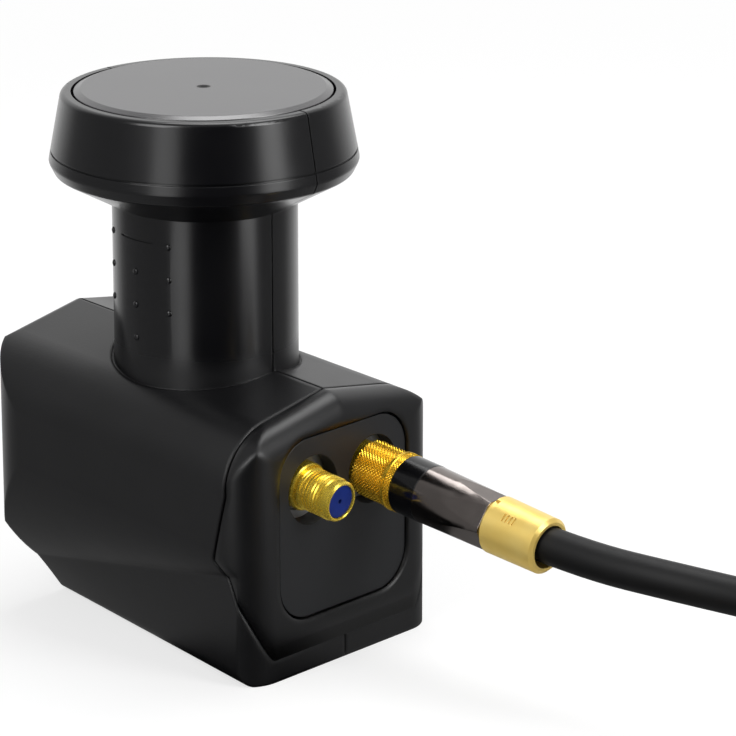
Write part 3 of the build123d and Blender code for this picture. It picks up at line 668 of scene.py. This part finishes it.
floorMesh = bpy.data.meshes.new("studioFloor")
half = studio["size"] / 2
floorCorners = [(-half, -half, 0), (half, -half, 0), (half, half, 0), (-half, half, 0)]
floorMesh.from_pydata(floorCorners, [], [(0, 1, 2, 3)])
floor = bpy.data.objects.new("studioFloor", floorMesh)
scene.collection.objects.link(floor)
floorWhite, tree = newMaterial("paperSweep")
rays = addNode(tree, "ShaderNodeLightPath")
paper = addNode(tree, "ShaderNodeBsdfDiffuse", inputs={"Color": toLinear("#f4f4f4")})
seen = addNode(tree, "ShaderNodeEmission", inputs={"Color": toLinear("#ffffff"), "Strength": 1.0})
floorPlace = addNode(tree, "ShaderNodeTexCoord").outputs["Object"]
mirrored = addNode(tree, "ShaderNodeEmission", inputs={
    "Color": toLinear("#ffffff"), "Strength": roomLevel(tree, floorPlace)})
floorDistance = addNode(tree, "ShaderNodeVectorMath", {"operation": "LENGTH"}, {
    0: floorPlace}).outputs["Value"]
plainWhite = addNode(tree, "ShaderNodeMapRange", {"interpolation_type": "SMOOTHSTEP"}, {
    "Value": floorDistance, "From Min": studio["shadowFull"], "From Max": studio["shadowGone"],
    "To Min": 1 - studio["shadow"], "To Max": 1.0})
kept = addNode(tree, "ShaderNodeMath", {"operation": "MULTIPLY"}, {
    0: rays.outputs["Is Camera Ray"], 1: plainWhite.outputs[0]})
toCamera = addNode(tree, "ShaderNodeMixShader", inputs={
    0: kept.outputs[0], 1: paper.outputs[0], 2: seen.outputs[0]})
bright = addNode(tree, "ShaderNodeMath", {"operation": "MAXIMUM"}, {
    0: rays.outputs["Is Glossy Ray"], 1: rays.outputs["Is Transmission Ray"]})
toAll = addNode(tree, "ShaderNodeMixShader", inputs={
    0: bright.outputs[0], 1: toCamera.outputs[0], 2: mirrored.outputs[0]})
finishMaterial(tree, toAll)
floorMesh.materials.append(floorWhite)

world = bpy.data.worlds.new("studioWorld")
scene.world = world
world.use_nodes = True
tree = world.node_tree
tree.nodes.clear()
rays = addNode(tree, "ShaderNodeLightPath")
direction = addNode(tree, "ShaderNodeTexCoord").outputs["Generated"]
rise = addNode(tree, "ShaderNodeSeparateXYZ", inputs={0: direction}).outputs["Z"]
high = addNode(tree, "ShaderNodeMapRange", {"interpolation_type": "SMOOTHSTEP"}, {
    "Value": rise, "From Min": studio["overheadFrom"], "From Max": studio["overheadFull"]}).outputs[0]
around = addNode(tree, "ShaderNodeMix", inputs={
    0: high, 2: roomLevel(tree, direction), 3: studio["overhead"]}).outputs[0]
lit = addNode(tree, "ShaderNodeMix", inputs={
    0: rays.outputs["Is Glossy Ray"], 2: studio["worldLight"], 3: around}).outputs[0]
level = addNode(tree, "ShaderNodeMix", inputs={0: rays.outputs["Is Camera Ray"], 2: lit, 3: 1.0}).outputs[0]
sky = addNode(tree, "ShaderNodeBackground", inputs={"Color": toLinear("#ffffff"), "Strength": level})
addNode(tree, "ShaderNodeOutputWorld", inputs={"Surface": sky.outputs[0]})

# soft boxes: bearing from the camera, elevation, distance, width, height, power
softBoxes = {
    "left": (-40, 35, 0.9, 0.4, 0.6, 3.5), "right": (60, 30, 0.9, 0.3, 0.6, 3.5),
    "top": (150, 70, 0.9, 0.7, 0.5, 5.0)}
for name, (offset, elevation, distance, width, height, power) in softBoxes.items():
    out = outwards(shot["azimuth"] + offset, elevation)
    lampData = bpy.data.lights.new(name + "Box", "AREA")
    lampData.shape = "RECTANGLE"
    lampData.size = width
    lampData.size_y = height
    lampData.energy = power
    lamp = bpy.data.objects.new(name + "Box", lampData)
    lamp.location = Vector((0, 0, studio["aimHeight"])) + out * distance
    lamp.rotation_mode = "QUATERNION"
    lamp.rotation_quaternion = (-out).to_track_quat("-Z", "Y")
    scene.collection.objects.link(lamp)
print("studio lit")
